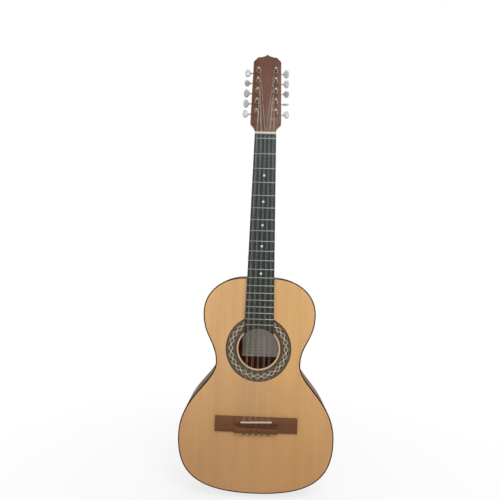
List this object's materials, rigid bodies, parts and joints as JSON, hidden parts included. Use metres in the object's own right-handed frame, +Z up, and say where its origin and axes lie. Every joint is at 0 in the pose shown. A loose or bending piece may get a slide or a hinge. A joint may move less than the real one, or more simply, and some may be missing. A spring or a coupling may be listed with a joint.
{
  "type": "electric viola caipira",
  "caption": "Electric viola caipira: a waisted flat-top folk guitar with paired steel strings, worm-gear tuners, a tie-block bridge with under-saddle pickup and a side-mounted preamp.",
  "frame": {"origin": "middle of the tail edge of the body, halfway through the depth of the ribs, where the stand carries the instrument", "axes": "+Z up the neck, -Y out of the soundboard towards the player's audience, -X the bass side and +X the treble side"},
  "size_m": [0.3188, 0.1048, 0.9436],
  "materials": {
    "spruce": "satin varnish",
    "brace_wood": "bare",
    "rib_wood": "gloss varnish",
    "dark_wood": "gloss varnish",
    "block_wood": "bare",
    "neck_wood": "satin varnish",
    "board_wood": "oiled",
    "bridge_wood": "oiled",
    "bone": "polished bone",
    "inlay": "mosaic inlay under varnish",
    "steel": "nickel plated",
    "bronze": "wound",
    "pearl": "pearloid",
    "plastic": "moulded",
    "knob": "moulded",
    "cell": "wrapped"
  },
  "bodies": {
    "instrument": {"soundboard": "spruce", "back_plate": "rib_wood", "rib_bass": "rib_wood", "rib_treble": "rib_wood", "neck_block": "block_wood", "end_block": "block_wood", "lining_top": "brace_wood", "lining_back": "brace_wood", "binding_top": "dark_wood", "binding_back": "dark_wood", "rosette": "inlay", "bridge_plate": "brace_wood", "bridge": "bridge_wood", "saddle": "bone", "piezo_pickup": "plastic", "neck": "neck_wood", "neck_rod": "steel", "fretboard": "board_wood", "nut": "bone", "end_pin_jack": "steel", "wiring_loom": "plastic", "tuner_plate_bass": "steel", "tuner_plate_treble": "steel", "preamp_housing": "plastic", "string_01": "bronze", "string_02": "steel", "string_03": "bronze", "string_04": "steel", "string_05": "bronze", "string_06": "steel", "string_07": "steel", "string_08": "steel", "string_09": "steel", "string_10": "steel"},
    "key_bass_1": {"key_bass_1": "pearl"},
    "post_bass_1": {"post_bass_1": "steel"},
    "key_bass_2": {"key_bass_2": "pearl"},
    "post_bass_2": {"post_bass_2": "steel"},
    "key_bass_3": {"key_bass_3": "pearl"},
    "post_bass_3": {"post_bass_3": "steel"},
    "key_bass_4": {"key_bass_4": "pearl"},
    "post_bass_4": {"post_bass_4": "steel"},
    "key_bass_5": {"key_bass_5": "pearl"},
    "post_bass_5": {"post_bass_5": "steel"},
    "key_treble_1": {"key_treble_1": "pearl"},
    "post_treble_1": {"post_treble_1": "steel"},
    "key_treble_2": {"key_treble_2": "pearl"},
    "post_treble_2": {"post_treble_2": "steel"},
    "key_treble_3": {"key_treble_3": "pearl"},
    "post_treble_3": {"post_treble_3": "steel"},
    "key_treble_4": {"key_treble_4": "pearl"},
    "post_treble_4": {"post_treble_4": "steel"},
    "key_treble_5": {"key_treble_5": "pearl"},
    "post_treble_5": {"post_treble_5": "steel"},
    "volume_slider": {"volume_slider": "knob"},
    "bass_slider": {"bass_slider": "knob"},
    "middle_slider": {"middle_slider": "knob"},
    "treble_slider": {"treble_slider": "knob"},
    "battery_drawer": {"battery_drawer": "plastic", "battery": "cell"}
  },
  "joints": [
    {"name": "key_bass_1_turn", "type": "hinge", "parent": "instrument", "child": "key_bass_1", "pos_m": [-0.02023, -0.01338, 0.79375], "axis": [0.9999, -0.0035, -0.015], "continuous": true},
    {"name": "post_bass_1_turn", "type": "hinge", "parent": "instrument", "child": "post_bass_1", "pos_m": [-0.02037, -0.03531, 0.78988], "axis": [0, 0.9744, -0.225], "continuous": true},
    {"name": "key_bass_2_turn", "type": "hinge", "parent": "instrument", "child": "key_bass_2", "pos_m": [-0.01984, -0.0076, 0.81879], "axis": [0.9999, -0.0035, -0.015], "continuous": true},
    {"name": "post_bass_2_turn", "type": "hinge", "parent": "instrument", "child": "post_bass_2", "pos_m": [-0.01997, -0.02953, 0.81492], "axis": [0, 0.9744, -0.225], "continuous": true},
    {"name": "key_bass_3_turn", "type": "hinge", "parent": "instrument", "child": "key_bass_3", "pos_m": [-0.01944, -0.00182, 0.84383], "axis": [0.9999, -0.0035, -0.015], "continuous": true},
    {"name": "post_bass_3_turn", "type": "hinge", "parent": "instrument", "child": "post_bass_3", "pos_m": [-0.01957, -0.02375, 0.83996], "axis": [0, 0.9744, -0.225], "continuous": true},
    {"name": "key_bass_4_turn", "type": "hinge", "parent": "instrument", "child": "key_bass_4", "pos_m": [-0.01904, 0.00396, 0.86887], "axis": [0.9999, -0.0035, -0.015], "continuous": true},
    {"name": "post_bass_4_turn", "type": "hinge", "parent": "instrument", "child": "post_bass_4", "pos_m": [-0.01918, -0.01797, 0.86501], "axis": [0, 0.9744, -0.225], "continuous": true},
    {"name": "key_bass_5_turn", "type": "hinge", "parent": "instrument", "child": "key_bass_5", "pos_m": [-0.01865, 0.00974, 0.89391], "axis": [0.9999, -0.0035, -0.015], "continuous": true},
    {"name": "post_bass_5_turn", "type": "hinge", "parent": "instrument", "child": "post_bass_5", "pos_m": [-0.01878, -0.01219, 0.89005], "axis": [0, 0.9744, -0.225], "continuous": true},
    {"name": "key_treble_1_turn", "type": "hinge", "parent": "instrument", "child": "key_treble_1", "pos_m": [0.02023, -0.01338, 0.79375], "axis": [0.9999, 0.0035, 0.015], "continuous": true},
    {"name": "post_treble_1_turn", "type": "hinge", "parent": "instrument", "child": "post_treble_1", "pos_m": [0.02037, -0.03531, 0.78988], "axis": [0, 0.9744, -0.225], "continuous": true},
    {"name": "key_treble_2_turn", "type": "hinge", "parent": "instrument", "child": "key_treble_2", "pos_m": [0.01984, -0.0076, 0.81879], "axis": [0.9999, 0.0035, 0.015], "continuous": true},
    {"name": "post_treble_2_turn", "type": "hinge", "parent": "instrument", "child": "post_treble_2", "pos_m": [0.01997, -0.02953, 0.81492], "axis": [0, 0.9744, -0.225], "continuous": true},
    {"name": "key_treble_3_turn", "type": "hinge", "parent": "instrument", "child": "key_treble_3", "pos_m": [0.01944, -0.00182, 0.84383], "axis": [0.9999, 0.0035, 0.015], "continuous": true},
    {"name": "post_treble_3_turn", "type": "hinge", "parent": "instrument", "child": "post_treble_3", "pos_m": [0.01957, -0.02375, 0.83996], "axis": [0, 0.9744, -0.225], "continuous": true},
    {"name": "key_treble_4_turn", "type": "hinge", "parent": "instrument", "child": "key_treble_4", "pos_m": [0.01904, 0.00396, 0.86887], "axis": [0.9999, 0.0035, 0.015], "continuous": true},
    {"name": "post_treble_4_turn", "type": "hinge", "parent": "instrument", "child": "post_treble_4", "pos_m": [0.01918, -0.01797, 0.86501], "axis": [0, 0.9744, -0.225], "continuous": true},
    {"name": "key_treble_5_turn", "type": "hinge", "parent": "instrument", "child": "key_treble_5", "pos_m": [0.01865, 0.00974, 0.89391], "axis": [0.9999, 0.0035, 0.015], "continuous": true},
    {"name": "post_treble_5_turn", "type": "hinge", "parent": "instrument", "child": "post_treble_5", "pos_m": [0.01878, -0.01219, 0.89005], "axis": [0, 0.9744, -0.225], "continuous": true},
    {"name": "volume_slider_travel", "type": "slide", "parent": "instrument", "child": "volume_slider", "axis": [0, -1, 0], "range_m": [-0.007, 0.007]},
    {"name": "bass_slider_travel", "type": "slide", "parent": "instrument", "child": "bass_slider", "axis": [0, -1, 0], "range_m": [-0.007, 0.007]},
    {"name": "middle_slider_travel", "type": "slide", "parent": "instrument", "child": "middle_slider", "axis": [0, -1, 0], "range_m": [-0.007, 0.007]},
    {"name": "treble_slider_travel", "type": "slide", "parent": "instrument", "child": "treble_slider", "axis": [0, -1, 0], "range_m": [-0.007, 0.007]},
    {"name": "battery_drawer_slide", "type": "slide", "parent": "instrument", "child": "battery_drawer", "axis": [-0.9367, 0, -0.3501], "range_m": [0, 0.045]}
  ],
  "couplings": [
    {"joint": "post_bass_1_turn", "follows": "key_bass_1_turn", "ratio": -0.071429},
    {"joint": "post_bass_2_turn", "follows": "key_bass_2_turn", "ratio": -0.071429},
    {"joint": "post_bass_3_turn", "follows": "key_bass_3_turn", "ratio": -0.071429},
    {"joint": "post_bass_4_turn", "follows": "key_bass_4_turn", "ratio": -0.071429},
    {"joint": "post_bass_5_turn", "follows": "key_bass_5_turn", "ratio": -0.071429},
    {"joint": "post_treble_1_turn", "follows": "key_treble_1_turn", "ratio": -0.071429},
    {"joint": "post_treble_2_turn", "follows": "key_treble_2_turn", "ratio": -0.071429},
    {"joint": "post_treble_3_turn", "follows": "key_treble_3_turn", "ratio": -0.071429},
    {"joint": "post_treble_4_turn", "follows": "key_treble_4_turn", "ratio": -0.071429},
    {"joint": "post_treble_5_turn", "follows": "key_treble_5_turn", "ratio": -0.071429}
  ]
}
